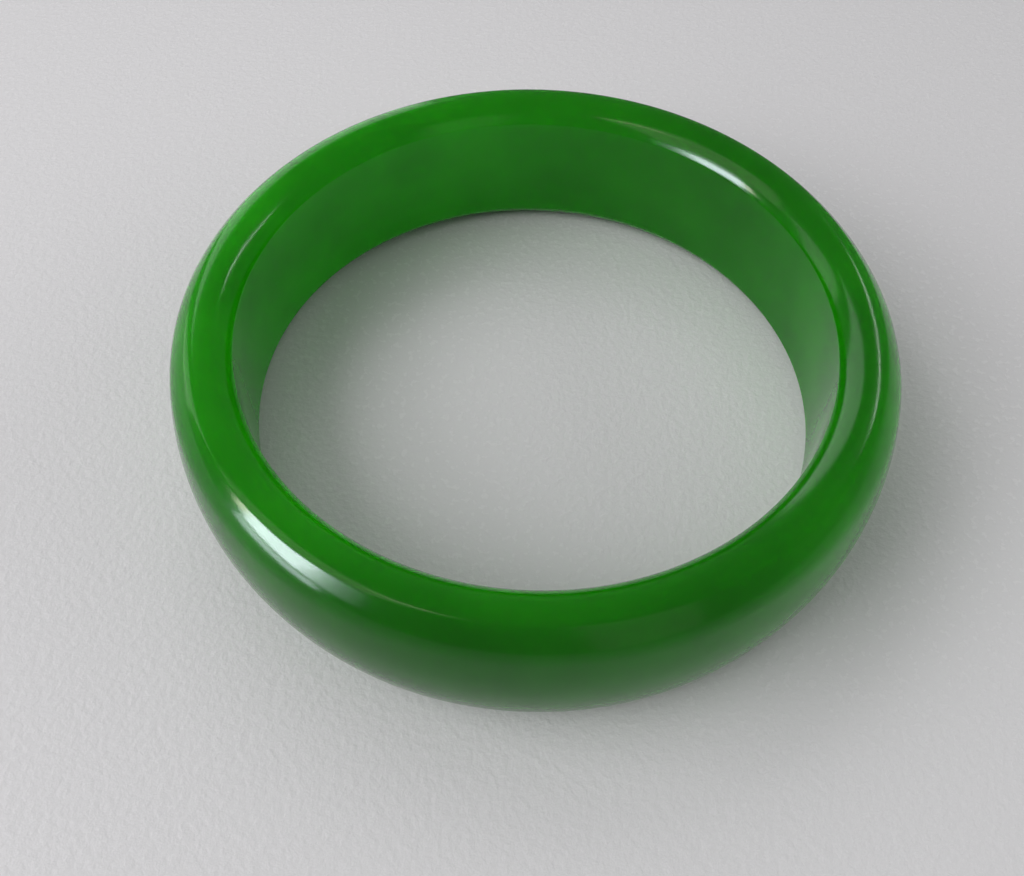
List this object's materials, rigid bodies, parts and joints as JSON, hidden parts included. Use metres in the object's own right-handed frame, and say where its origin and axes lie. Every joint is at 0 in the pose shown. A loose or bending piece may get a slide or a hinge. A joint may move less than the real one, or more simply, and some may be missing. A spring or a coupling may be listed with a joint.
{
  "type": "bangle bracelet",
  "caption": "Closed round bangle bracelet of polished translucent green stone, with a straight inner wall and a domed outside.",
  "frame": {"origin": "on the ring's axis, at the height of the surface that the ring lies on", "axes": "+Z along the ring's axis, up when the bangle lies flat; X and Y are free, because the ring is round"},
  "size_m": [0.0716, 0.0716, 0.0165],
  "materials": {
    "green_stone": "polished, slightly translucent"
  },
  "bodies": {
    "root": {"bangle": "green_stone"}
  },
  "joints": []
}
